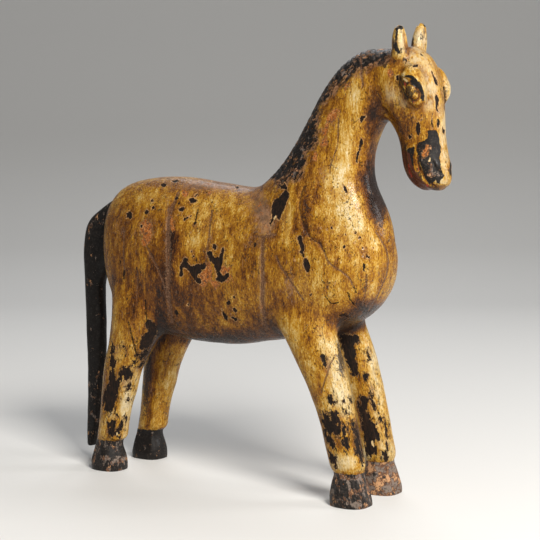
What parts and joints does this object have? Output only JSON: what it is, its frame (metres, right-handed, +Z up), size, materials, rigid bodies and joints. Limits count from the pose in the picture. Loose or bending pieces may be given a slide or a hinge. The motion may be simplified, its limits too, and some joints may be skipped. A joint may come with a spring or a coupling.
{
  "type": "wooden horse sculpture",
  "caption": "Standing horse carved in wood, head lowered and ears up, legs on small hooves, with a long separate tail hanging from the rump.",
  "frame": {"origin": "on the floor, under the middle of the object's box", "axes": "+X forward, towards the muzzle; +Y to the horse's left; +Z up"},
  "size_m": [0.4338, 0.1042, 0.4524],
  "materials": {
    "painted_wood": "worn ochre paint under brown varnish, half gloss, with black mane, muzzle and hooves",
    "black_painted_wood": "worn black paint, half matt"
  },
  "bodies": {
    "root": {"horse": "painted_wood", "tail": "black_painted_wood"}
  },
  "joints": []
}
